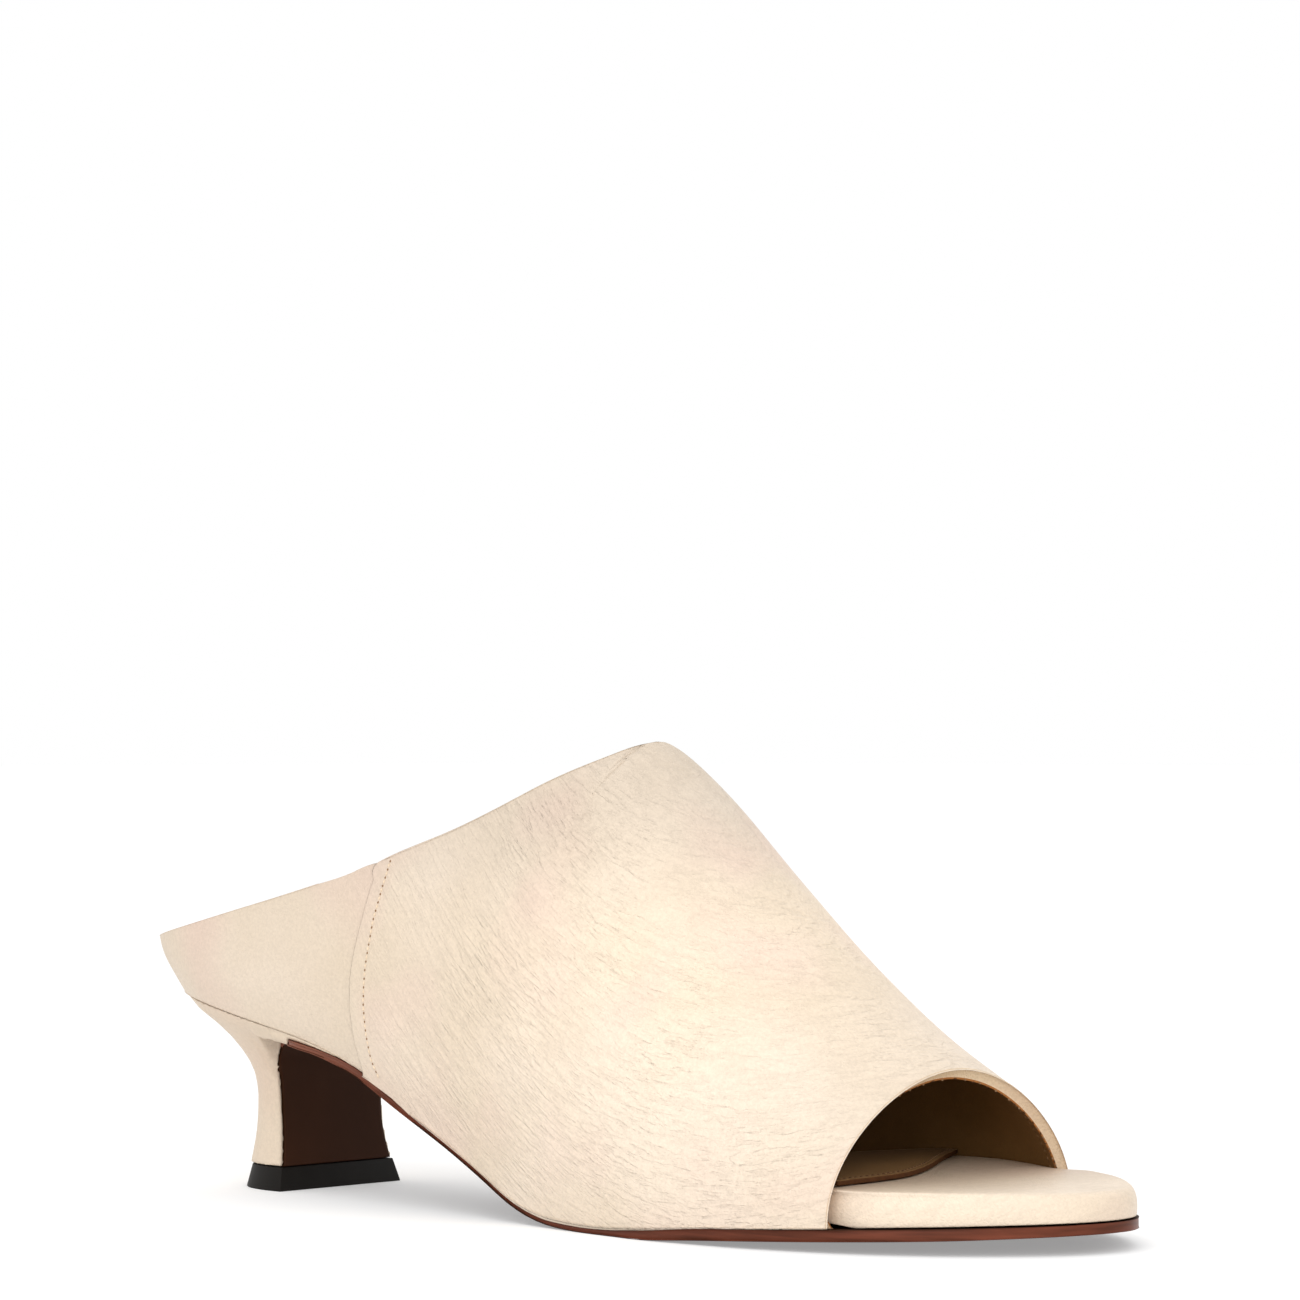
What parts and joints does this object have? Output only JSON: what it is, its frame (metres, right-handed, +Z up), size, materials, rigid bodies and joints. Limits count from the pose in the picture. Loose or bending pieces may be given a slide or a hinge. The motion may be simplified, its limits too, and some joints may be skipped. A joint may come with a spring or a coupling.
{
  "type": "mule sandal",
  "caption": "Open-toe slip-on mule with a high leather vamp that rises to a peak at the instep, a low open back, a padded footbed and a curved covered kitten heel.",
  "frame": {"origin": "centre of the bounding box in plan, on the floor under the shoe", "axes": "+X from the heel to the toe, +Y to the inner side of the foot, +Z up"},
  "size_m": [0.249, 0.0776, 0.0948],
  "materials": {
    "upper": "soft tumbled nappa, satin",
    "footbed": "soft nappa over padding, satin",
    "sock_lining": "smooth thin lining leather, matt",
    "outsole": "dyed and burnished sole leather, semi-gloss",
    "heel": "soft nappa glued over the heel block, satin",
    "top_lift": "smooth, matt"
  },
  "bodies": {
    "root": {"upper": "upper", "footbed": "footbed", "sock_lining": "sock_lining", "outsole": "outsole", "heel": "heel", "top_lift": "top_lift"}
  },
  "joints": []
}
